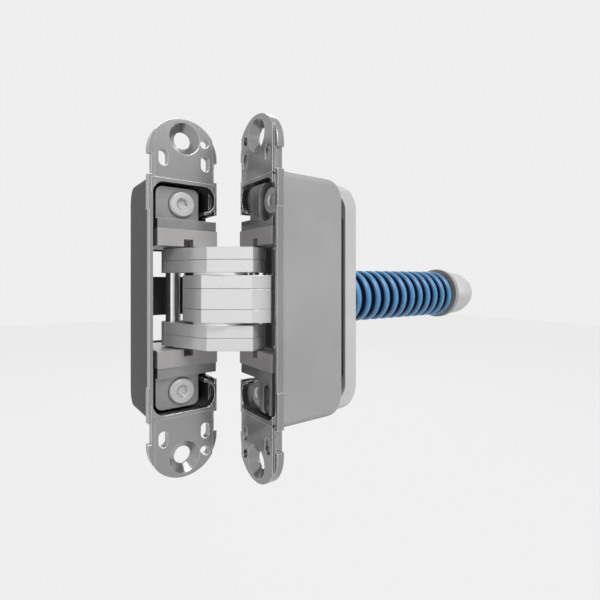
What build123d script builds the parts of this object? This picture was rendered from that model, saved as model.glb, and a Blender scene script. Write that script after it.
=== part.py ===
from build123d import *
from math import atan2, cos, degrees, radians, sin
import os

os.makedirs("parts", exist_ok=True)

# A self-closing concealed hinge for a door, drawn half open, at 90 degrees.
# X runs into the door frame, Y runs into the door leaf, Z is up.
# Each leaf is drawn with x as its depth behind its face and y as its width, and the door leaf is the
# mirror image. The written pieces are moved so that the origin is midway between the frame side's two
# screws, in the straight part of their holes.

# Face plate
plate_length = 118.0
plate_width = 23.4
face_width = 19.6
face_step = 0.7
flange_thickness = 3.0
screw_spacing = 105.0
screw_hole_diameter = 5.6
countersink_diameter = 10.4
origin_depth = 2.7
slot_width = 3.0
slot_length = 5.3
slot_across = 7.1
slot_up = 45.35
oval_across = 7.0
oval_up = 52.2
oval_width = 2.8
oval_length = 3.6
notch_depth = 1.1
notch_low = 39.6
notch_high = 46.3

# Housing behind the plate
housing_height = 79.2
housing_width = 22.6
housing_wall = 1.2
housing_corner = 7.0
housing_edge = 2.2
frame_housing_depth = 26.5
door_housing_depth = 23.2
pocket_reach = 11.3
inner_wall_start = 9.2
pocket_margin = 2.0
cup_width = 9.0
cup_corner = 4.4
cup_wall = 0.8
cup_depth = 9.0
boss_diameter = 8.4
boss_front = 13.0
door_window_low = 7.1
door_window_high = 16.5
door_window_width = 17.0
overrun = 1.0

# Linkage: each leaf's pivot, the arm from pivot to knuckle, and the arm from knuckle to slider
pivot_across = 9.2
pivot_depth = 4.5
pivot_arm = 12.4
slider_arm = 19.22
slider_angle = 122.3
arm_swing = 109.0
full_opening = 180.0
rest_opening = 90.0
pivot_pin_diameter = 3.6
knuckle_pin_diameter = 4.4
slider_pin_diameter = 5.0
slider_end_diameter = 2.8
running_clearance = 0.05
press_clearance = 0.01
free_clearance = 0.4
pin_recess = 1.4
slider_end_play = 0.3
shoulder_play = 0.35

# Arm plates, as heights from the middle plane
middle_plate_half = 3.2
centre_arm_half = 7.4
outer_arm_start = 8.3
outer_arm_seam = 12.3
outer_arm_end = 16.3
plate_seam = 0.08
pivot_eye_radius = 3.2
slider_eye_radius = 3.8
washer_radius = 8.8
washer_thickness = 0.8

# Carrier blocks and clamps
block_start = 17.0
block_end = 22.6
block_outer_side = -8.8
block_inner_side = 11.7
block_front = 0.4
block_rear = 20.6
track_depth = 2.4
track_clearance = 0.22
clamp_end = 25.9
clamp_front = 0.9
clamp_rear = 18.0
clamp_side = 11.5
block_clearance = 0.25
clamp_clearance = 0.35
bracket_front = 3.0
bracket_rear = 7.6
bracket_top = 36.7
bracket_outer = -8.6
bracket_inner = 5.9
bracket_corner = 2.2
adjuster_up = 31.2
adjuster_head_diameter = 8.8
adjuster_head_height = 2.0
adjuster_shank_diameter = 5.0
adjuster_socket = 3.0
adjuster_socket_depth = 1.5
counterbore_depth = 0.6
adjuster_clearance = 0.1
head_chamfer = 0.5
lead_in_radius = 2.1
lead_in_depth = 0.5

# The frame side's own adjusters
upper_adjuster_across = -4.8
lower_adjuster_across = 1.5
recess_width = 9.6
recess_length = 12.4
recess_depth = 3.4
recess_forward = 1.8
recess_drop = 0.6
tongue_thickness = 1.1
tongue_front = 0.3
tongue_inner = -1.6
tongue_slot_width = 3.8
tongue_slot_length = 9.4
tongue_slot_across = -6.0
tongue_drop = 1.0
tongue_root = 1.2

# Closer
closer_gap = 1.9
cover_thickness = 4.9
cover_half_height = 38.0
cover_corner = 8.0
cover_lip_start = 34.6
cover_overlap = 2.0
hollow_corner = 5.0
spacer_half_height = 28.6
spacer_corner = 3.0
spacer_inset = 1.0
bore_radius = 5.3
clevis_radius = 4.9
clevis_slot_half = 2.1
link_half = 1.9
link_eye_radius = 4.0
link_room_overlap = 1.0
link_shank_half = 2.1
link_length = 14.0
link_pin_diameter = 2.6
link_tail_radius = 2.4
link_side_play = 2.0
link_back_play = 4.0
link_front_play = 1.0
link_pin_half = 3.7
window_corner = 1.2
clevis_nose = 2.0
clevis_length = 19.0
rod_radius = 3.0
spring_length = 60.8
spring_radius = 9.7
spring_pitch = 4.95
spring_wire_width = 2.8
spring_wire_depth = 3.6
spring_wire_round = 1.1
spring_end_gap = 0.02
spring_washer_radius = 10.7
spring_washer_thickness = 1.9
collar_radius = 9.2
collar_thickness = 3.2
nut_across_flats = 15.4
nut_height = 16.2
nut_dome_radius = 9.0
nut_cap = 4.0

# Sizes worked out from those above
swing_share = arm_swing / full_opening
meeting = pivot_across + pivot_arm - pivot_depth
pocket_end = housing_height / 2 - pocket_margin
mouth_half_height = housing_height / 2 - pocket_reach
wall_outside = housing_width / 2
wall_inside = wall_outside - housing_wall
knuckle = Vector(pivot_depth - pivot_arm, pivot_across)
seat_q = frame_housing_depth + closer_gap
cover_rear = seat_q + cover_thickness
spring_end = cover_rear + spring_length
mirror_plane = Plane(origin=(0, meeting, 0), z_dir=(1, -1, 0))


def save(shape, name):
    """Writes one piece to its own file."""
    solids = shape.solids()
    shape = solids[0] if len(solids) == 1 else Compound(children=list(solids))
    shape = Pos(-origin_depth, 0, 0) * shape
    shape.label = name
    export_step(shape, f"parts/{name}.step")


def to_door(shape):
    """Turns a frame-side piece into the door-side one."""
    return mirror(shape, about=mirror_plane)


def flip(shape):
    """Turns an upper piece into the lower one."""
    return mirror(shape, about=Plane.XY)


def across(width_from, width_to, depth_from, depth_to, low, high):
    """A box between two widths (y), two depths (x) and two heights (z)."""
    size = (depth_to - depth_from, width_to - width_from, high - low)
    middle = ((depth_from + depth_to) / 2, (width_from + width_to) / 2, (low + high) / 2)
    return Pos(*middle) * Box(*size)


def through(sketch, depth_from, depth_to):
    """Runs a sketch of width and height from one depth to another."""
    return extrude(Plane.YZ.offset(depth_from) * sketch, depth_to - depth_from)


def upright(sketch, low, high):
    """Runs a plan sketch from one height to another."""
    return extrude(Plane.XY.offset(low) * sketch, high - low)


def pin(centre, radius, low, high):
    """An upright round pin at a plan point."""
    return upright(Pos(centre.X, centre.Y) * Circle(radius), low, high)


def slider_at(opening):
    """Where the far arm's slider pin is in a leaf, as depth and width, at an opening in degrees."""
    near_turn = swing_share * (opening - rest_opening)
    far_turn = (opening - rest_opening) - near_turn
    depth = pivot_depth - pivot_arm * cos(radians(near_turn))
    width = pivot_across + pivot_arm * sin(radians(near_turn))
    angle = radians(far_turn + slider_angle)
    return Vector(depth + slider_arm * sin(angle), width + slider_arm * cos(angle))


frame_pivot = Vector(pivot_depth, pivot_across)
door_pivot = Vector(pivot_across - meeting, pivot_depth + meeting)
frame_slider = slider_at(rest_opening)
door_slider = Vector(frame_slider.Y - meeting, frame_slider.X + meeting)


# Housings

def plate_blank():
    """The face plate: a raised face on a slightly wider flange, both with round ends."""
    outline = SlotOverall(plate_length, plate_width, rotation=90)
    raised = outline & Rectangle(face_width, plate_length)
    return through(outline, face_step, flange_thickness) + through(raised, 0, face_step)


def shell_blank(depth, inset):
    """The rounded box behind the plate, with its rear top and bottom corners rounded too."""
    height = housing_height - 2 * inset
    front = RectangleRounded(housing_width - 2 * inset, height, housing_edge - inset)
    body = through(front, face_step - inset, depth - inset)
    corner = housing_corner - inset
    side = Plane.XZ * (Pos(depth - inset - height / 2, 0) * RectangleRounded(height, height, corner))
    return body & extrude(side, housing_width / 2, both=True)


def plate_holes():
    """Every hole of the face plate: screw holes, slots, ovals and edge notches."""
    holes = []
    sink = (countersink_diameter - screw_hole_diameter) / 2
    for end in (1, -1):
        up = end * screw_spacing / 2
        bore = through(Pos(0, up) * Circle(screw_hole_diameter / 2), -overrun, flange_thickness + overrun)
        cone = Cone(countersink_diameter / 2, screw_hole_diameter / 2, sink)
        holes += [bore, Pos(sink / 2, 0, up) * Rot(0, 90, 0) * cone]
        for side in (1, -1):
            slot = Pos(side * slot_across, end * slot_up) * SlotOverall(slot_length, slot_width, rotation=90)
            edge = plate_width / 2 * side
            inner = edge - notch_depth * side
            low, high = sorted((end * notch_low, end * notch_high))
            sides = sorted((inner, edge + side * overrun))
            notch = across(*sides, -overrun, flange_thickness + overrun, low, high)
            holes += [through(slot, -overrun, flange_thickness + overrun), notch]
        oval = Pos(oval_across, end * oval_up) * Ellipse(oval_length / 2, oval_width / 2, rotation=45 * end)
        holes.append(through(oval, -overrun, flange_thickness + overrun))
    return holes


def cup(end):
    """The half-round wall beside a screw pocket, on the inner edge of the leaf."""
    low = mouth_half_height
    high = housing_height / 2 - housing_wall
    middle = Pos(plate_width / 2 - cup_width / 2, end * (low + high) / 2)
    outside = middle * RectangleRounded(cup_width, high - low, cup_corner)
    inner_height = high - low - 2 * cup_wall
    inside = middle * RectangleRounded(cup_width - 2 * cup_wall, inner_height, cup_corner - cup_wall)
    ring = through(outside - inside, face_step, cup_depth)
    keep_from = plate_width / 2 - cup_width / 2
    return ring & across(keep_from, plate_width / 2, 0, cup_depth, -housing_height / 2, housing_height / 2)


def housing(depth, adjusters):
    """Plate and box in one piece, open at the mouth, with a boss for each adjusting screw."""
    body = plate_blank() + shell_blank(depth, 0)
    body -= shell_blank(depth, housing_wall)
    opening = Rectangle(2 * wall_inside, 2 * mouth_half_height)
    body -= through(opening, -overrun, depth - housing_wall - housing_corner)
    body -= across(0, plate_width, -overrun, inner_wall_start, -mouth_half_height, mouth_half_height)
    flange_rear = flange_thickness + overrun
    body -= across(-plate_width, -wall_outside, -overrun, flange_rear, -mouth_half_height, mouth_half_height)
    for end in (1, -1):
        pocket_height = pocket_end - mouth_half_height + cup_corner
        pocket_middle = end * (pocket_end - pocket_height / 2)
        pocket_width = wall_inside + plate_width / 2 - cup_wall
        pocket_across = (plate_width / 2 - cup_wall - wall_inside) / 2
        pocket = RectangleRounded(pocket_width, pocket_height, cup_corner - cup_wall)
        body -= through(Pos(pocket_across, pocket_middle) * pocket, -overrun, flange_thickness + overrun)
        body += cup(end)
    for place, up in adjusters:
        post = Pos(place, up) * Circle(boss_diameter / 2)
        body += through(post, boss_front, depth - housing_wall / 2)
        bore = Pos(place, up) * Circle(adjuster_shank_diameter / 2 + adjuster_clearance)
        body -= through(bore, boss_front - overrun, depth - 2 * housing_wall)
    for hole in plate_holes():
        body -= hole
    return body


frame_adjusters = [(upper_adjuster_across, adjuster_up), (lower_adjuster_across, -adjuster_up)]
door_adjusters = [(0, adjuster_up), (0, -adjuster_up)]

frame_housing = housing(frame_housing_depth, frame_adjusters)
rear_wall_front = frame_housing_depth - 2 * housing_wall
frame_housing -= through(Circle(bore_radius), rear_wall_front, frame_housing_depth + overrun)
save(frame_housing, "frame_housing")

door_shell = housing(door_housing_depth, door_adjusters)
for end in (1, -1):
    middle = end * (door_window_low + door_window_high) / 2
    window = Rectangle(door_window_width, door_window_high - door_window_low)
    window_start = door_housing_depth - 2 * housing_wall
    door_shell -= through(Pos(0, middle) * window, window_start, door_housing_depth + overrun)
save(to_door(door_shell), "door_housing")


# Carrier blocks, with the pin hole and the track that the far arm's slider pin runs in

def track(width):
    """The plan of the slider's track: the pin's own path, then straight out to the front."""
    points = [slider_at(opening) for opening in range(0, 181, 20)]
    mouth = Vector(block_front - slider_end_diameter, points[-1].Y)
    path = Spline(*points) + Line(points[-1], mouth)
    groove = Sketch() + [Pos(point.X, point.Y) * Circle(width / 2) for point in (points[0], points[-1])]
    lane = trace(path, line_width=width)
    return groove + lane


def carrier_block(rear):
    """The upper carrier block of a leaf."""
    shelf_rear = inner_wall_start - block_clearance
    block = across(block_outer_side, block_inner_side, block_front, shelf_rear, block_start, block_end)
    block += across(block_outer_side, wall_inside - block_clearance, block_front, rear, block_start, block_end)
    hole_radius = pivot_pin_diameter / 2 + press_clearance
    block -= pin(frame_pivot, hole_radius, block_start - overrun, block_end - pin_recess + slider_end_play)
    groove = track(slider_end_diameter + 2 * track_clearance)
    block -= upright(groove, block_start - overrun, block_start + track_depth)
    return block


upper_block = carrier_block(block_rear)
save(upper_block, "frame_carrier_upper")
save(flip(upper_block), "frame_carrier_lower")
save(to_door(upper_block), "door_carrier_upper")
save(to_door(flip(upper_block)), "door_carrier_lower")


# Clamps: a foot on the carrier block and an upright bracket that the adjusting screw draws in

def clamp_foot():
    shelf_rear = inner_wall_start - clamp_clearance
    foot = across(bracket_outer, clamp_side, clamp_front, shelf_rear, block_end, clamp_end)
    side = wall_inside - clamp_clearance
    return foot + across(bracket_outer, side, clamp_front, clamp_rear, block_end, clamp_end)


def clamp_bracket(front):
    height = bracket_top - block_end
    width = bracket_inner - bracket_outer
    face = RectangleRounded(width, height, bracket_corner)
    place = Pos((bracket_inner + bracket_outer) / 2, (bracket_top + block_end) / 2)
    return through(place * face, front, bracket_rear)


def shank_hole(place):
    hole = Pos(place, adjuster_up) * Circle(adjuster_shank_diameter / 2 + adjuster_clearance)
    return through(hole, -overrun, bracket_rear + overrun)


def plain_clamp(place):
    """An upper clamp with a shallow seat for the screw's head."""
    seat = Pos(place, adjuster_up) * Circle(adjuster_head_diameter / 2 + adjuster_clearance)
    body = clamp_foot() + clamp_bracket(bracket_front)
    body -= through(seat, bracket_front - overrun, bracket_front + counterbore_depth)
    return body - shank_hole(place)


def recessed_clamp(place):
    """The frame side's upper clamp: its screw lies in an oblong recess."""
    front = bracket_front - recess_forward
    recess = Pos(place, adjuster_up - recess_drop) * SlotOverall(recess_length, recess_width, rotation=90)
    body = clamp_foot() + clamp_bracket(front)
    body -= through(recess, front - overrun, front + recess_depth)
    return body - shank_hole(place)


def slotted_clamp(place):
    """The frame side's lower clamp, drawn as an upper one: a slotted tongue stands before its bracket."""
    body = plain_clamp(place)
    tongue_top = bracket_top - tongue_drop
    width = tongue_inner - bracket_outer
    middle = (tongue_inner + bracket_outer) / 2
    height = tongue_top - block_end
    plate = Pos(middle, (tongue_top + block_end) / 2) * RectangleRounded(width, height, bracket_corner)
    tongue = through(plate, tongue_front, tongue_front + tongue_thickness)
    slot = SlotOverall(tongue_slot_length, tongue_slot_width, rotation=90)
    tongue -= through(Pos(tongue_slot_across, adjuster_up) * slot, 0, bracket_front)
    root_side = bracket_outer + tongue_root
    root = across(bracket_outer, root_side, tongue_front, bracket_front + overrun, block_end, tongue_top)
    head_room = Pos(place, adjuster_up) * Circle(adjuster_head_diameter / 2 + 2 * adjuster_clearance)
    return body + tongue + root - through(head_room, tongue_front + tongue_thickness, bracket_front)


save(recessed_clamp(upper_adjuster_across), "frame_clamp_upper")
save(flip(slotted_clamp(lower_adjuster_across)), "frame_clamp_lower")
door_clamp = to_door(plain_clamp(0))
save(door_clamp, "door_clamp_upper")
save(flip(door_clamp), "door_clamp_lower")


# Adjusting screws, seated in the clamps and screwed into the housing's bosses

def adjuster(place, up, head_front, rear):
    head = Pos(place, up) * Circle(adjuster_head_diameter / 2)
    shank = Pos(place, up) * Circle(adjuster_shank_diameter / 2)
    head_body = through(head, head_front, head_front + adjuster_head_height)
    head_body = chamfer(head_body.edges().filter_by(GeomType.CIRCLE).sort_by(Axis.X)[0], head_chamfer)
    body = head_body + through(shank, head_front + adjuster_head_height, rear)
    socket = Pos(place, up) * RegularPolygon(adjuster_socket / 2, 6, major_radius=False)
    lead_in = Cone(lead_in_radius, lead_in_radius - lead_in_depth, lead_in_depth)
    lead_in = Pos(head_front + lead_in_depth / 2, place, up) * Rot(0, 90, 0) * lead_in
    return body - through(socket, head_front, head_front + adjuster_socket_depth) - lead_in


head_front = bracket_front + counterbore_depth - adjuster_head_height
recess_floor = bracket_front - recess_forward + recess_depth
frame_screw_end = frame_housing_depth - 3 * housing_wall
door_screw_end = door_housing_depth - 3 * housing_wall
frame_upper_head = recess_floor - adjuster_head_height
save(adjuster(upper_adjuster_across, adjuster_up, frame_upper_head, frame_screw_end), "frame_adjuster_upper")
save(adjuster(lower_adjuster_across, -adjuster_up, head_front, frame_screw_end), "frame_adjuster_lower")
save(to_door(adjuster(0, adjuster_up, head_front, door_screw_end)), "door_adjuster_upper")
save(to_door(adjuster(0, -adjuster_up, head_front, door_screw_end)), "door_adjuster_lower")


# Pins

pin_reach = block_end - pin_recess
slider_reach = block_start + track_depth - slider_end_play
shoulder = block_start - shoulder_play
frame_pin = pin(frame_pivot, pivot_pin_diameter / 2, -pin_reach, pin_reach)
save(frame_pin, "frame_pivot_pin")
save(to_door(frame_pin), "door_pivot_pin")


def slider_pin(centre):
    """A long pin with thinner ends that run in the tracks of the carrier blocks."""
    thick = pin(centre, slider_pin_diameter / 2, -shoulder, shoulder)
    return thick + pin(centre, slider_end_diameter / 2, -slider_reach, slider_reach)


save(slider_pin(frame_slider), "frame_slider_pin")
save(slider_pin(door_slider), "door_slider_pin")
save(pin(knuckle, knuckle_pin_diameter / 2, -outer_arm_end, outer_arm_end), "knuckle_pin")


# Arm plates, drawn in plan from the knuckle at the rest opening

def pin_lane():
    """The lane that the other leaf's pivot pin sweeps past an arm, in plan from the knuckle."""
    half = radians(arm_swing - full_opening / 2)
    radius = pivot_arm
    margin = pivot_pin_diameter / 2 + free_clearance
    ends = [Vector(radius * cos(side * half), radius * sin(side * half)) for side in (1, -1)]
    ring = Circle(radius + margin) - Circle(radius - margin)
    far = 3 * radius
    tip = far * sin(half) / cos(half)
    wedge = make_face(Polyline((0, 0), (far, tip), (far, -tip), close=True))
    lane = ring & wedge
    for end in ends:
        lane += Pos(end.X, end.Y) * Circle(margin)
    return lane


def arm_plan(points, own_pivot, own_slider, lane, slider_radius):
    """An arm's outline: its faceted body, an eye at each end, and the pocket for the other pin."""
    plan = make_face(Polyline(*points, close=True))
    plan += Pos(own_pivot.X, own_pivot.Y) * Circle(pivot_eye_radius)
    plan += Pos(own_slider.X, own_slider.Y) * Circle(slider_radius)
    plan -= lane
    plan -= Pos(own_pivot.X, own_pivot.Y) * Circle(pivot_pin_diameter / 2 + running_clearance)
    plan -= Pos(own_slider.X, own_slider.Y) * Circle(slider_pin_diameter / 2 + press_clearance)
    return plan


outer_points = [
    (14.4, -2.4), (13.2, -6.8), (5.0, -12.4), (-6.6, -3.7), (-9.6, 4.6), (-12.4, 11.4), (-14.0, 15.6),
    (-7.6, 18.9), (-6.2, 14.2), (-1.0, 9.6), (4.0, 7.0), (12.4, 3.2),
]
centre_points = [
    (-2.4, 14.4), (-10.6, 6.2), (-8.6, -4.2), (4.0, -13.4), (9.5, -15.8), (14.0, -13.3),
    (18.9, -7.6), (14.2, -6.2), (9.6, -1.0), (7.0, 4.0), (3.2, 12.4),
]
lane = pin_lane()
turned_lane = mirror(lane, about=Plane(origin=(0, 0, 0), z_dir=(1, -1, 0)))
to_slider = frame_slider - knuckle
to_door_slider = door_slider - knuckle
outer_plan = arm_plan(outer_points, frame_pivot - knuckle, to_door_slider, turned_lane, slider_eye_radius)
centre_plan = arm_plan(centre_points, door_pivot - knuckle, to_slider, lane, slider_eye_radius)
slider_direction = degrees(atan2(to_slider.Y, to_slider.X))
link_room = Circle(link_eye_radius + free_clearance)
link_room += Pos(slider_arm / 2 - link_room_overlap, 0) * Rectangle(slider_arm, 2 * slider_arm)
middle_plan = centre_plan - Pos(to_slider.X, to_slider.Y) * Rot(0, 0, slider_direction) * link_room
knuckle_place = Pos(knuckle.X, knuckle.Y)
tight_hole = Circle(knuckle_pin_diameter / 2 + press_clearance)
running_hole = Circle(knuckle_pin_diameter / 2 + running_clearance)

outer_layers = [
    ("inner", outer_arm_start, outer_arm_seam),
    ("outer", outer_arm_seam + plate_seam, outer_arm_end),
]
for layer, low, high in outer_layers:
    plate = upright(knuckle_place * (outer_plan - tight_hole), low, high)
    save(plate, f"outer_arm_upper_{layer}")
    save(flip(plate), f"outer_arm_lower_{layer}")

side_plan = centre_plan - running_hole
side_plate = upright(knuckle_place * side_plan, middle_plate_half + plate_seam, centre_arm_half)
save(side_plate, "centre_arm_upper")
save(flip(side_plate), "centre_arm_lower")
middle_plate = upright(knuckle_place * (middle_plan - running_hole), -middle_plate_half, middle_plate_half)
save(middle_plate, "centre_arm_middle")

washer_low = (centre_arm_half + outer_arm_start - washer_thickness) / 2
washer_plan = Circle(washer_radius) - running_hole
washer = upright(knuckle_place * washer_plan, washer_low, washer_low + washer_thickness)
save(washer, "glide_washer_upper")
save(flip(washer), "glide_washer_lower")


# Closer: link on the slider pin, rod, spacer, cover, spring and its nut

link_tail = Vector(frame_slider.X + link_length, frame_slider.Y)
link_plan = Pos(frame_slider.X, frame_slider.Y) * Circle(link_eye_radius)
link_plan += Pos(link_tail.X, link_tail.Y) * Circle(link_tail_radius)
link_shank = Rectangle(link_length, 2 * link_shank_half)
link_plan += Pos(frame_slider.X + link_length / 2, frame_slider.Y) * link_shank
link_plan -= Pos(frame_slider.X, frame_slider.Y) * Circle(slider_pin_diameter / 2 + running_clearance)
link_plan -= Pos(link_tail.X, link_tail.Y) * Circle(link_pin_diameter / 2 + press_clearance)
save(upright(link_plan, -link_half, link_half), "pull_link")
save(pin(link_tail, link_pin_diameter / 2, -link_pin_half, link_pin_half), "link_pin")

window_front = link_tail.X - link_pin_diameter / 2 - link_front_play
window_rear = link_tail.X + link_pin_diameter / 2 + link_back_play
clevis_front = window_front - clevis_nose
clevis = through(Circle(clevis_radius), clevis_front, clevis_front + clevis_length)
window_half = link_pin_diameter / 2 + link_side_play
slot_end = window_rear + link_tail_radius
slot_start = clevis_front - overrun
clevis -= across(-clevis_radius, clevis_radius, slot_start, slot_end, -clevis_slot_half, clevis_slot_half)
window = RectangleRounded(window_rear - window_front, 2 * window_half, window_corner)
window = Pos((window_front + window_rear) / 2, 0) * window
clevis -= upright(window, -clevis_radius, clevis_radius)
nut_end = spring_end + spring_washer_thickness + collar_thickness + nut_height
rod = clevis + through(Circle(rod_radius), clevis_front + clevis_length, nut_end - nut_cap)
save(rod, "pull_rod")

cover_profile = RectangleRounded(2 * cover_half_height, 2 * cover_half_height, cover_corner)
cover = extrude(Plane.XZ * (Pos(cover_rear - cover_half_height, 0) * cover_profile), wall_outside, both=True)
cover_front = frame_housing_depth - cover_overlap
cover &= across(-wall_outside, wall_outside, cover_front, cover_rear, -cover_half_height, cover_half_height)
cover_outline = RectangleRounded(housing_width, 2 * cover_half_height, housing_edge)
cover &= through(cover_outline, cover_front, cover_rear)
hollow = RectangleRounded(2 * cover_lip_start, 2 * cover_lip_start, hollow_corner)
cover -= extrude(Plane.XZ * (Pos(seat_q - cover_lip_start, 0) * hollow), wall_outside, both=True)
cover -= shell_blank(frame_housing_depth, 0)
cover -= through(Circle(bore_radius), cover_front, cover_rear + overrun)
save(cover, "closer_cover")

spacer_outline = RectangleRounded(housing_width - 2 * spacer_inset, 2 * spacer_half_height, spacer_corner)
save(through(spacer_outline - Circle(bore_radius), frame_housing_depth, seat_q), "closer_spacer")

wire_radius = spring_radius - spring_wire_depth / 2
coil_length = spring_length + 2 * spring_pitch
coil = Helix(spring_pitch, coil_length, wire_radius)
section_plane = Plane(origin=coil @ 0, x_dir=(1, 0, 0), z_dir=coil % 0)
section = section_plane * RectangleRounded(spring_wire_depth, spring_wire_width, spring_wire_round)
spring = sweep(section, path=coil, is_frenet=True)
spring = Pos(cover_rear - spring_pitch, 0, 0) * Rot(0, 90, 0) * spring
spring_room = Circle(spring_radius + overrun)
spring &= through(spring_room, cover_rear + spring_end_gap, spring_end - spring_end_gap)
save(spring, "closer_spring")

rod_hole = Circle(rod_radius + press_clearance)
washer_end = spring_end + spring_washer_thickness
save(through(Circle(spring_washer_radius) - rod_hole, spring_end, washer_end), "spring_washer")

collar_end = washer_end + collar_thickness
nut = through(Circle(collar_radius) - rod_hole, washer_end, collar_end)
hexagon = RegularPolygon(nut_across_flats / 2, 6, major_radius=False)
dome_start = nut_end - nut_dome_radius
dome = through(hexagon, dome_start, nut_end) & (Pos(dome_start, 0, 0) * Sphere(nut_dome_radius))
nut += through(hexagon, collar_end, dome_start) + dome
nut -= through(rod_hole, washer_end - overrun, nut_end - nut_cap)
save(nut, "adjusting_nut")
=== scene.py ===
import bpy
import bmesh
import math
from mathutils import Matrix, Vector


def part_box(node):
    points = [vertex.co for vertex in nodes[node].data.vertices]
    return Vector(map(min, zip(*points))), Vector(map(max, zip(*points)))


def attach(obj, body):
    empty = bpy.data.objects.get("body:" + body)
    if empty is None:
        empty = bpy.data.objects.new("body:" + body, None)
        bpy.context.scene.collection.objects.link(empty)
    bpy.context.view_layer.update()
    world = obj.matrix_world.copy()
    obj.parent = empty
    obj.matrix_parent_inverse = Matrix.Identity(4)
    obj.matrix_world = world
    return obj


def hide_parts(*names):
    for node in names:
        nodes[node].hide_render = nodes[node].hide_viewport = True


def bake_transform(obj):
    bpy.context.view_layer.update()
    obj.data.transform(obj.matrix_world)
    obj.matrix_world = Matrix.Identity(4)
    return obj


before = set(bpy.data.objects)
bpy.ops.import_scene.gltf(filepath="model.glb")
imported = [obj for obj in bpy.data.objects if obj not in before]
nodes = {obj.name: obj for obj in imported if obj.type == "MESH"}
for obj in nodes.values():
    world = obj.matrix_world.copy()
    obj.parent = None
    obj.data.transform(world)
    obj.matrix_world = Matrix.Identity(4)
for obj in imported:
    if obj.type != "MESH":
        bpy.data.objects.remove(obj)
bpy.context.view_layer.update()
print("frame loaded,", len(nodes), "pieces")

mm = 0.001
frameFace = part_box("frame_housing")[0].x
doorLow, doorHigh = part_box("door_housing")
doorFace = doorLow.y
doorMiddle = (doorLow.x + doorHigh.x) / 2


# Camera, set where the photograph was taken from

cameraLook = {
    "place": (-69.9 * mm, -115.5 * mm, 5.9 * mm),
    "turn": -36.27,  # degrees about the vertical
    "lens": 24.8,
    "sensor": 36,
    "shift": -0.0333,  # the photograph's horizon stands a little above its middle
    "nearest": 10 * mm,
}


def addCamera():
    data = bpy.data.cameras.new("camera")
    data.lens = cameraLook["lens"]
    data.sensor_width = cameraLook["sensor"]
    data.shift_y = cameraLook["shift"]
    data.clip_start = cameraLook["nearest"]
    camera = bpy.data.objects.new("camera", data)
    camera.location = cameraLook["place"]
    camera.rotation_euler = (math.radians(90), 0, math.radians(cameraLook["turn"]))
    bpy.context.scene.collection.objects.link(camera)
    bpy.context.scene.camera = camera


# Small helpers for shader trees

def link(tree, source, target):
    tree.links.new(source, target)


def addNode(tree, kind, place, **values):
    node = tree.nodes.new(kind)
    node.location = place
    for name, value in values.items():
        setattr(node, name, value)
    return node


def newGroup(name, inputs, outputs):
    group = bpy.data.node_groups.new(name, "ShaderNodeTree")
    for socket, kind, value in inputs:
        group.interface.new_socket(socket, in_out="INPUT", socket_type=kind).default_value = value
    for socket, kind in outputs:
        group.interface.new_socket(socket, in_out="OUTPUT", socket_type=kind)
    start = addNode(group, "NodeGroupInput", (-900, 0))
    end = addNode(group, "NodeGroupOutput", (700, 0))
    return group, start, end


# Shared effects

effectLook = {
    "edgeSamples": 6, "grainDetail": 3, "patchDetail": 2, "bumpDistance": 0.05 * mm,
    "noiseRange": (0.3, 0.7),  # where most of the noise lies
}


def makeSoftEdge():
    # rounds sharp edges in the shading and says where they are
    group, start, end = newGroup(
        "softEdge",
        [("Radius", "NodeSocketFloat", 0.0004), ("Strength", "NodeSocketFloat", 6.0)],
        [("Normal", "NodeSocketVector"), ("Edge", "NodeSocketFloat")],
    )
    bevel = addNode(group, "ShaderNodeBevel", (-600, 100), samples=effectLook["edgeSamples"])
    flat = addNode(group, "ShaderNodeNewGeometry", (-600, -150))
    dot = addNode(group, "ShaderNodeVectorMath", (-350, 0), operation="DOT_PRODUCT")
    turned = addNode(group, "ShaderNodeMath", (-150, 0), operation="SUBTRACT")
    turned.inputs[0].default_value = 1
    strong = addNode(group, "ShaderNodeMath", (50, 0), operation="MULTIPLY", use_clamp=True)
    link(group, start.outputs["Radius"], bevel.inputs["Radius"])
    link(group, bevel.outputs["Normal"], dot.inputs[0])
    link(group, flat.outputs["Normal"], dot.inputs[1])
    link(group, dot.outputs["Value"], turned.inputs[1])
    link(group, turned.outputs[0], strong.inputs[0])
    link(group, start.outputs["Strength"], strong.inputs[1])
    link(group, bevel.outputs["Normal"], end.inputs["Normal"])
    link(group, strong.outputs[0], end.inputs["Edge"])
    return group


def makeFineGrain():
    # an even fine grain and broad cloudy patches, each at its own scale
    group, start, end = newGroup(
        "fineGrain",
        [("Scale", "NodeSocketFloat", 900.0), ("Patch Scale", "NodeSocketFloat", 90.0)],
        [("Grain", "NodeSocketFloat"), ("Patches", "NodeSocketFloat")],
    )
    place = addNode(group, "ShaderNodeTexCoord", (-900, 250))
    grain = addNode(group, "ShaderNodeTexNoise", (-400, 150))
    grain.inputs["Detail"].default_value = effectLook["grainDetail"]
    patches = addNode(group, "ShaderNodeTexNoise", (-400, -150))
    patches.inputs["Detail"].default_value = effectLook["patchDetail"]
    link(group, place.outputs["Object"], grain.inputs["Vector"])
    link(group, start.outputs["Scale"], grain.inputs["Scale"])
    link(group, place.outputs["Object"], patches.inputs["Vector"])
    link(group, start.outputs["Patch Scale"], patches.inputs["Scale"])
    link(group, grain.outputs["Fac"], end.inputs["Grain"])
    link(group, patches.outputs["Fac"], end.inputs["Patches"])
    return group


softEdge = makeSoftEdge()
fineGrain = makeFineGrain()
print("shared effects ready")


def placeGroup(tree, group, place, values):
    node = addNode(tree, "ShaderNodeGroup", place, node_tree=group)
    for name, value in values.items():
        node.inputs[name].default_value = value
    return node


def newMaterial(name):
    material = bpy.data.materials.new(name)
    material.use_nodes = True
    return material, material.node_tree, material.node_tree.nodes["Principled BSDF"]


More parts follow.
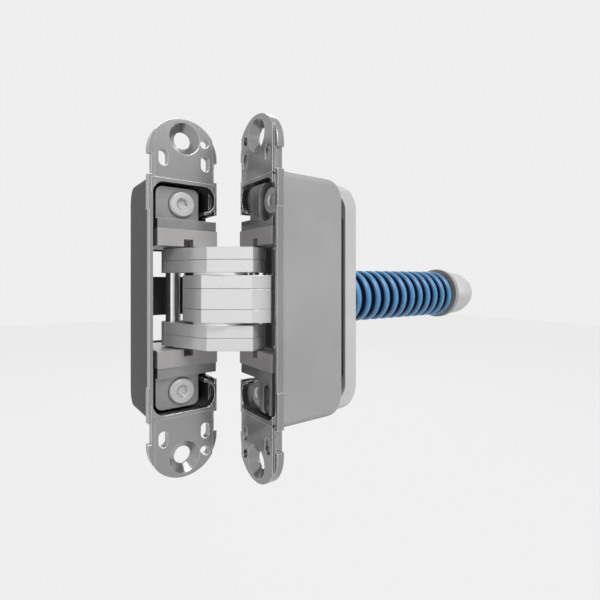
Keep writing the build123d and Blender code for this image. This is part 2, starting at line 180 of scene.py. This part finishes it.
def mixColour(tree, place, factor, low, high):
    node = addNode(tree, "ShaderNodeMix", place, data_type="RGBA")
    link(tree, factor, node.inputs["Factor"])
    for socket, value in (("A", low), ("B", high)):
        target = [s for s in node.inputs if s.name == socket and s.type == "RGBA"][0]
        if isinstance(value, tuple):
            target.default_value = (*value, 1)
        else:
            link(tree, value, target)
    return [s for s in node.outputs if s.type == "RGBA"][0]


def spread(tree, place, value, low, high):
    node = addNode(tree, "ShaderNodeMapRange", place)
    node.inputs["From Min"].default_value = effectLook["noiseRange"][0]
    node.inputs["From Max"].default_value = effectLook["noiseRange"][1]
    node.inputs["To Min"].default_value = low
    node.inputs["To Max"].default_value = high
    link(tree, value, node.inputs["Value"])
    return node.outputs[0]


def behindPlate(tree, look):
    # 0 on the face plate, 1 on the cast body behind it
    place = addNode(tree, "ShaderNodeTexCoord", (-1300, -350))
    parts = addNode(tree, "ShaderNodeSeparateXYZ", (-1100, -350))
    mask = addNode(tree, "ShaderNodeMath", (-900, -350), operation="GREATER_THAN")
    mask.inputs[1].default_value = look["bodyFrom"]
    link(tree, place.outputs["Object"], parts.inputs[0])
    link(tree, parts.outputs[look["bodyAxis"]], mask.inputs[0])
    return mask.outputs[0]


def between(tree, place, mask, low, high):
    # low where the mask is 0, high where it is 1; low can be a number or another node's socket
    node = addNode(tree, "ShaderNodeMapRange", place)
    if isinstance(low, bpy.types.NodeSocket):
        link(tree, low, node.inputs["To Min"])
    else:
        node.inputs["To Min"].default_value = low
    node.inputs["To Max"].default_value = high
    link(tree, mask, node.inputs["Value"])
    return node.outputs[0]


def grainBump(tree, grain, strength):
    bump = addNode(tree, "ShaderNodeBump", (-200, -200))
    bump.inputs["Strength"].default_value = strength
    bump.inputs["Distance"].default_value = effectLook["bumpDistance"]
    link(tree, grain.outputs["Grain"], bump.inputs["Height"])
    return bump


def metal(name, look):
    # a worked metal: base colour with patches, fine grain, and a painted highlight along rounded edges
    material, tree, shader = newMaterial(name)
    shader.inputs["Metallic"].default_value = look["metallic"]
    edge = placeGroup(tree, softEdge, (-900, 300), {"Radius": look["edge"], "Strength": look["edgeGain"]})
    grain = placeGroup(tree, fineGrain, (-900, 0), {
        "Scale": look["grainScale"], "Patch Scale": look["patchScale"]})
    clouds = spread(tree, (-650, 100), grain.outputs["Patches"], 0, 1)
    base = mixColour(tree, (-400, 200), clouds, look["dark"], look["light"])
    worked = "Patches" if look["bump"] == 0 else "Grain"  # a ground face has clouds and no grain
    rough = spread(tree, (-400, -50), grain.outputs[worked], look["rough"][0], look["rough"][1])
    if "bodyAxis" in look:
        body = behindPlate(tree, look)
        bodyBase = mixColour(tree, (-600, 400), clouds, look["bodyDark"], look["bodyLight"])
        base = mixColour(tree, (-300, 350), body, base, bodyBase)
        metallic = between(tree, (-400, -350), body, look["metallic"], look["bodyMetallic"])
        rough = between(tree, (-200, -50), body, rough, look["bodyRough"])
        shader.inputs["Specular IOR Level"].default_value = look["specular"]
        link(tree, metallic, shader.inputs["Metallic"])
    # painted highlight: the edge mask brightens the colour along rounded edges
    edgeLit = mixColour(tree, (-200, 250), edge.outputs["Edge"], base, look["edgeHighlight"])
    normal = edge.outputs["Normal"]
    if look["bump"]:
        bump = grainBump(tree, grain, look["bump"])
        link(tree, normal, bump.inputs["Normal"])
        normal = bump.outputs["Normal"]
    link(tree, edgeLit, shader.inputs["Base Color"])
    link(tree, rough, shader.inputs["Roughness"])
    link(tree, normal, shader.inputs["Normal"])
    return material


nickelLook = {
    "metallic": 0.85, "dark": (0.3, 0.3, 0.3), "light": (0.35, 0.35, 0.35), "edgeHighlight": (0.95, 0.95, 0.95),
    "edge": 0.28 * mm, "edgeGain": 5.0, "grainScale": 5200, "patchScale": 45,
    "rough": (0.2, 0.26), "bump": 0.005, "bodyMetallic": 0.15, "bodyDark": (0.38, 0.38, 0.382),
    "bodyLight": (0.43, 0.43, 0.432), "bodyRough": 0.5, "specular": 0.2,
}
plateDepth = 3.05 * mm  # from the face to just behind the plate, where the cast body starts
frameNickelLook = dict(nickelLook, bodyAxis="X", bodyFrom=frameFace + plateDepth)
# painted shade: the door housing's cast body is the frame's grey, darkened as if it stands in shade
shadedDoorNickelLook = dict(
    nickelLook, bodyAxis="Y", bodyFrom=doorFace + plateDepth, bodyMetallic=0.05,
    bodyDark=(0.09, 0.09, 0.092), bodyLight=(0.11, 0.11, 0.112))
armLook = {
    "metallic": 0.4, "dark": (0.66, 0.66, 0.665), "light": (0.71, 0.71, 0.715), "edgeHighlight": (0.9, 0.9, 0.9),
    "edge": 0.3 * mm, "edgeGain": 0.3, "grainScale": 1200, "patchScale": 30,
    "rough": (0.25, 0.31), "bump": 0,
}
blockLook = {
    "metallic": 0.2, "dark": (0.38, 0.368, 0.364), "light": (0.45, 0.437, 0.433),
    "edgeHighlight": (0.75, 0.73, 0.73), "edge": 0.2 * mm, "edgeGain": 1.5,
    "grainScale": 3000, "patchScale": 90,
    "rough": (0.4, 0.48), "bump": 0.03,
}
clampLook = dict(
    blockLook, dark=(0.27, 0.27, 0.27), light=(0.33, 0.33, 0.33), metallic=0.6, rough=(0.22, 0.28),
    edgeGain=3.0)
screwLook = dict(
    blockLook, dark=(0.52, 0.52, 0.52), light=(0.6, 0.6, 0.6), metallic=0.6, rough=(0.24, 0.3),
    edge=0.15 * mm, bump=0)
pinLook = dict(armLook, dark=(0.55, 0.55, 0.55), light=(0.62, 0.62, 0.62), rough=(0.1, 0.16), metallic=0.95)
coverLook = dict(blockLook, dark=(0.57, 0.57, 0.57), light=(0.63, 0.63, 0.63), metallic=0.25)
rodLook = dict(blockLook, dark=(0.34, 0.32, 0.31), light=(0.42, 0.4, 0.39), metallic=0.3)
nutLook = dict(blockLook, dark=(0.6, 0.605, 0.61), light=(0.67, 0.675, 0.68), rough=(0.45, 0.55))

finishes = {
    "frameNickel": (frameNickelLook, ["frame_housing"]),
    "doorNickel": (shadedDoorNickelLook, ["door_housing"]),
    "armSteel": (armLook, [name for name in nodes if "_arm_" in name]),
    "blockMetal": (blockLook, [name for name in nodes if "carrier" in name]),
    "clampMetal": (clampLook, [name for name in nodes if "clamp" in name]),
    "screwSteel": (screwLook, [name for name in nodes if "adjuster" in name]),
    "pinSteel": (pinLook, [name for name in nodes if name.endswith("_pin") or name == "pull_link"]),
    "coverMetal": (coverLook, ["closer_cover"]),
    "rodSteel": (rodLook, ["pull_rod", "spring_washer"]),
    "nutMetal": (nutLook, ["adjusting_nut"]),
}


def moulded(name, look):
    # moulded plastic: cloudy colour, fine dull grain
    material, tree, shader = newMaterial(name)
    grain = placeGroup(tree, fineGrain, (-900, 0), {
        "Scale": look["grainScale"], "Patch Scale": look["patchScale"]})
    clouds = spread(tree, (-650, 100), grain.outputs["Patches"], 0, 1)
    base = mixColour(tree, (-400, 200), clouds, look["dark"], look["light"])
    rough = spread(tree, (-400, -50), grain.outputs["Grain"], look["rough"][0], look["rough"][1])
    bump = grainBump(tree, grain, look["bump"])
    link(tree, base, shader.inputs["Base Color"])
    link(tree, rough, shader.inputs["Roughness"])
    link(tree, bump.outputs["Normal"], shader.inputs["Normal"])
    return material


nylonLook = {
    "dark": (0.84, 0.84, 0.82), "light": (0.92, 0.92, 0.9), "grainScale": 2500, "patchScale": 120,
    "rough": (0.35, 0.45), "bump": 0.05,
}
insertLook = {
    "dark": (0.008, 0.008, 0.008), "light": (0.016, 0.016, 0.016), "grainScale": 2500, "patchScale": 120,
    "rough": (0.5, 0.65), "bump": 0.1,
}


def dress(name, material):
    for slot in nodes[name].material_slots:
        slot.material = material


metals = {}
for finish, (look, names) in finishes.items():
    metals[finish] = metal(finish, look)
    for name in names:
        dress(name, metals[finish])
dress("closer_spacer", moulded("darkInsert", insertLook))
whiteNylon = moulded("whiteNylon", nylonLook)
for name in ("glide_washer_upper", "glide_washer_lower"):
    dress(name, whiteNylon)
print("metals ready")


# Making a piece from rings of points

def joinRings(mesh, rings):
    count = len(rings[0])
    for a, b in zip(rings, rings[1:]):
        for k in range(count):
            mesh.faces.new((a[k], b[k], b[(k + 1) % count], a[(k + 1) % count]))
    mesh.faces.new(rings[0])
    mesh.faces.new(rings[-1][::-1])


def newPiece(name, mesh, material):
    bmesh.ops.recalc_face_normals(mesh, faces=mesh.faces)
    data = bpy.data.meshes.new(name)
    mesh.to_mesh(data)
    mesh.free()
    data.materials.append(material)
    piece = bpy.data.objects.new(name, data)
    bpy.context.scene.collection.objects.link(piece)
    return piece


# Closer spring: blue wire, its ends ground square

springLook = {
    "radius": 9.7 * mm, "wireDeep": 3.6 * mm, "wireWide": 3.15 * mm, "turns": 12.28, "phase": -0.25,
    "stepsEachTurn": 48, "roundness": 2.3, "corners": 20, "endGap": 0.02 * mm,
    # "deep" is the painted shade colour that the wire takes towards the axis, between the turns
    "deep": (0.002, 0.015, 0.06), "dark": (0.07, 0.28, 0.56), "light": (0.095, 0.33, 0.64),
    "shadeFrom": 8.8 * mm, "shadeTo": 9.66 * mm, "rough": (0.3, 0.38), "grainScale": 2500, "patchScale": 200,
    "coat": 0.15, "coatRough": 0.15, "weld": 0.0001 * mm,
}


def springPaint():
    # blue lacquer, with painted shade: near-black down between the turns, towards the spring's axis
    material, tree, shader = newMaterial("springBlue")
    shader.inputs["Coat Weight"].default_value = springLook["coat"]
    shader.inputs["Coat Roughness"].default_value = springLook["coatRough"]
    grain = placeGroup(tree, fineGrain, (-900, 0), {
        "Scale": springLook["grainScale"], "Patch Scale": springLook["patchScale"]})
    clouds = spread(tree, (-650, 100), grain.outputs["Patches"], 0, 1)
    paint = mixColour(tree, (-400, 200), clouds, springLook["dark"], springLook["light"])
    place = addNode(tree, "ShaderNodeTexCoord", (-1300, 500))
    flat = addNode(tree, "ShaderNodeVectorMath", (-1100, 500), operation="MULTIPLY")
    flat.inputs[1].default_value = (0, 1, 1)  # what is left is the distance from the spring's axis
    reach = addNode(tree, "ShaderNodeVectorMath", (-900, 500), operation="LENGTH")
    depth = addNode(tree, "ShaderNodeMapRange", (-650, 500))
    depth.inputs["From Min"].default_value = springLook["shadeFrom"]
    depth.inputs["From Max"].default_value = springLook["shadeTo"]
    link(tree, place.outputs["Object"], flat.inputs[0])
    link(tree, flat.outputs["Vector"], reach.inputs[0])
    link(tree, reach.outputs["Value"], depth.inputs["Value"])
    # painted shade: the lacquer darkens to near-black as the wire comes closer to the spring's axis
    base = mixColour(tree, (-200, 350), depth.outputs[0], springLook["deep"], paint)
    rough = spread(tree, (-400, -50), grain.outputs["Grain"], springLook["rough"][0], springLook["rough"][1])
    link(tree, base, shader.inputs["Base Color"])
    link(tree, rough, shader.inputs["Roughness"])
    return material


springBlue = springPaint()
dress("closer_spring", springBlue)


def wireSection():
    # the outline of the wire: depth towards the axis, then width along it
    points = []
    power = 2 / springLook["roundness"]
    for step in range(springLook["corners"]):
        angle = 2 * math.pi * step / springLook["corners"]
        deep = math.copysign(abs(math.cos(angle)) ** power, math.cos(angle))
        wide = math.copysign(abs(math.sin(angle)) ** power, math.sin(angle))
        points.append((deep * springLook["wireDeep"] / 2, wide * springLook["wireWide"] / 2))
    return points


def addSpring():
    low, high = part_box("closer_spring")
    first, last = low.x + springLook["endGap"], high.x - springLook["endGap"]
    turns = springLook["turns"]
    middle = springLook["radius"] - springLook["wireDeep"] / 2
    rise = (last - first) / turns
    section = wireSection()
    mesh = bmesh.new()
    rings = []
    count = int(turns * springLook["stepsEachTurn"])
    for step in range(count + 1):
        turn = turns * step / count
        along = first + turn * rise
        angle = 2 * math.pi * (turn + springLook["phase"])
        ring = []
        for deep, wide in section:
            reach = middle + deep
            x = min(max(along + wide, first), last)  # the ends are ground square
            ring.append(mesh.verts.new((x, reach * math.cos(angle), reach * math.sin(angle))))
        rings.append(ring)
    joinRings(mesh, rings)
    bmesh.ops.remove_doubles(mesh, verts=mesh.verts, dist=springLook["weld"])
    spring = newPiece("closerSpring", mesh, springBlue)
    spring.data.shade_smooth()
    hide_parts("closer_spring")
    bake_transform(spring)


addSpring()
print("spring ready")


# Adjusting nut: a hexagon whose end is rounded off like a dome

nutShape = {
    "flat": 9.3 * mm, "dome": 10.4 * mm, "swell": 2.2, "tip": 0.9, "blend": 24,
    "rings": 26, "steps": 96,
}


def nutRadius(share, angle):
    sixth = math.radians(60)
    hexagon = nutShape["flat"] / math.cos((angle % sixth) - sixth / 2)
    dome = nutShape["dome"] * math.sqrt(1 - (nutShape["tip"] * share) ** nutShape["swell"])
    power = -nutShape["blend"]
    return (hexagon ** power + dome ** power) ** (1 / power)


def addNut():
    low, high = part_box("adjusting_nut")
    steps = nutShape["steps"]
    mesh = bmesh.new()
    rings = []
    for ring in range(nutShape["rings"] + 1):
        share = math.sin(math.pi / 2 * ring / nutShape["rings"])
        x = low.x + share * (high.x - low.x)
        loop = []
        for step in range(steps):
            angle = 2 * math.pi * step / steps
            reach = nutRadius(share, angle)
            loop.append(mesh.verts.new((x, reach * math.cos(angle), reach * math.sin(angle))))
        rings.append(loop)
    joinRings(mesh, rings)
    nut = newPiece("domedNut", mesh, metals["nutMetal"])
    nut.data.shade_smooth()
    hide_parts("adjusting_nut")
    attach(nut, "closer_rod")


addNut()
print("nut ready")


# Rims that round the screw pockets' far corners, in the plate's raised face and in the flange behind it

rimLook = {
    "left": -10.1 * mm, "right": 10.9 * mm, "top": 37.6 * mm, "corner": 3.6 * mm, "arcSteps": 14,
    "raisedHalf": 9.8 * mm, "flangeHalf": 12 * mm, "faceStep": 0.7 * mm, "rear": 2.95 * mm,
    "intoLeft": 0.5 * mm, "intoRight": 0.3 * mm, "intoTop": 1.2 * mm,  # how far a rim runs into the plate
    "proud": 0.015 * mm,
}


def rimOutline(half):
    # the pocket's arched edge from left to right, then back round over the plate, kept within the half width
    corner, top = rimLook["corner"], rimLook["top"]
    left, right = rimLook["left"], rimLook["right"]
    arch = []
    for middle, first in ((left + corner, math.pi), (right - corner, math.pi / 2)):
        for step in range(rimLook["arcSteps"] + 1):
            angle = first - math.pi / 2 * step / rimLook["arcSteps"]
            arch.append((middle + corner * math.cos(angle), top - corner + corner * math.sin(angle)))
    arch = [point for point in arch if abs(point[0]) < half]
    low, high = max(left - rimLook["intoLeft"], -half), min(right + rimLook["intoRight"], half)
    over = top + rimLook["intoTop"]
    return arch + [(high, arch[-1][1]), (high, over), (low, over), (low, arch[0][1])]


def rimPlace(leaf, depth, across, up):
    if leaf == "frame":
        return (frameFace + depth, across, up)
    return (doorMiddle + across, doorFace + depth, up)


def addRim(leaf, end):
    mesh = bmesh.new()
    step = rimLook["faceStep"]
    layers = ((rimLook["raisedHalf"], 0, step), (rimLook["flangeHalf"], step, rimLook["rear"]))
    for half, front, rear in layers:
        outline = rimOutline(half)
        near = [mesh.verts.new(rimPlace(leaf, front - rimLook["proud"], a, end * up)) for a, up in outline]
        far = [mesh.verts.new(rimPlace(leaf, rear, a, end * up)) for a, up in outline]
        joinRings(mesh, [near, far])
    name = leaf + "PocketRim" + ("Upper" if end > 0 else "Lower")
    rim = newPiece(name, mesh, metals[leaf + "Nickel"])
    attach(rim, leaf + "_leaf")


for leaf in ("frame", "door"):
    for end in (1, -1):
        addRim(leaf, end)
print("pocket rims ready")


# Floor, world and lamps

stageLook = {
    "background": (0.86, 0.86, 0.86), "ambient": 0.18, "floorDown": 0.28, "floorSize": 6.0, "floorGlow": 0.9,
    "floorShade": (0.9, 0.9, 0.9), "floorColour": (0.8, 0.8, 0.8), "floorRough": 0.9, "aim": (0.02, 0, 0),
}


def seenDirectly(tree):
    # 1 for the camera and for what reflections and glass show, 0 for the light that falls on the object
    rays = addNode(tree, "ShaderNodeLightPath", (-900, 300))
    seen = addNode(tree, "ShaderNodeMath", (-650, 300), operation="MAXIMUM")
    both = addNode(tree, "ShaderNodeMath", (-450, 300), operation="MAXIMUM")
    link(tree, rays.outputs["Is Camera Ray"], seen.inputs[0])
    link(tree, rays.outputs["Is Glossy Ray"], seen.inputs[1])
    link(tree, seen.outputs[0], both.inputs[0])
    link(tree, rays.outputs["Is Transmission Ray"], both.inputs[1])
    return both.outputs[0]


def addFloor():
    size = stageLook["floorSize"] / 2
    down = -stageLook["floorDown"]
    mesh = bpy.data.meshes.new("floor")
    corners = [(-size, -size, down), (size, -size, down), (size, size, down), (-size, size, down)]
    mesh.from_pydata(corners, [], [(0, 1, 2, 3)])
    floor = bpy.data.objects.new("floor", mesh)
    bpy.context.scene.collection.objects.link(floor)
    material, tree, shader = newMaterial("paleFloor")
    shader.inputs["Base Color"].default_value = (*stageLook["floorColour"], 1)
    shader.inputs["Roughness"].default_value = stageLook["floorRough"]
    output = tree.nodes["Material Output"]
    glow = addNode(tree, "ShaderNodeEmission", (0, -200))
    glow.inputs["Color"].default_value = (*stageLook["floorShade"], 1)
    share = addNode(tree, "ShaderNodeMath", (-50, 300), operation="MULTIPLY")  # the rest keeps the shadow
    share.inputs[1].default_value = stageLook["floorGlow"]
    mix = addNode(tree, "ShaderNodeMixShader", (300, 0))
    link(tree, seenDirectly(tree), share.inputs[0])
    link(tree, share.outputs[0], mix.inputs["Fac"])
    link(tree, shader.outputs[0], mix.inputs[1])
    link(tree, glow.outputs[0], mix.inputs[2])
    link(tree, mix.outputs[0], output.inputs["Surface"])
    mesh.materials.append(material)


def addWorld():
    world = bpy.data.worlds.new("paleWorld")
    world.use_nodes = True
    bpy.context.scene.world = world
    tree = world.node_tree
    shade = tree.nodes["Background"]
    strength = between(tree, (-250, 300), seenDirectly(tree), stageLook["ambient"], 1)
    link(tree, strength, shade.inputs["Strength"])
    shade.inputs["Color"].default_value = (*stageLook["background"], 1)


lamps = {
    "keyLamp": {"place": (0.05, -0.95, 0.95), "power": 14.5, "size": 0.75},
    "leftLamp": {"place": (-0.62, -0.68, 0.08), "power": 0.55, "size": 0.5},
    "backLamp": {"place": (0.6, 1.0, 0.7), "power": 6.0, "size": 0.8},
}


def addLamps():
    for name, lamp in lamps.items():
        data = bpy.data.lights.new(name, "AREA")
        data.energy = lamp["power"]
        data.size = lamp["size"]
        light = bpy.data.objects.new(name, data)
        light.location = lamp["place"]
        towards = Vector(stageLook["aim"]) - light.location
        light.rotation_euler = towards.to_track_quat("-Z", "Y").to_euler()
        bpy.context.scene.collection.objects.link(light)


addCamera()
addFloor()
addWorld()
addLamps()
bpy.context.scene.view_settings.view_transform = "Standard"
print("stage ready")
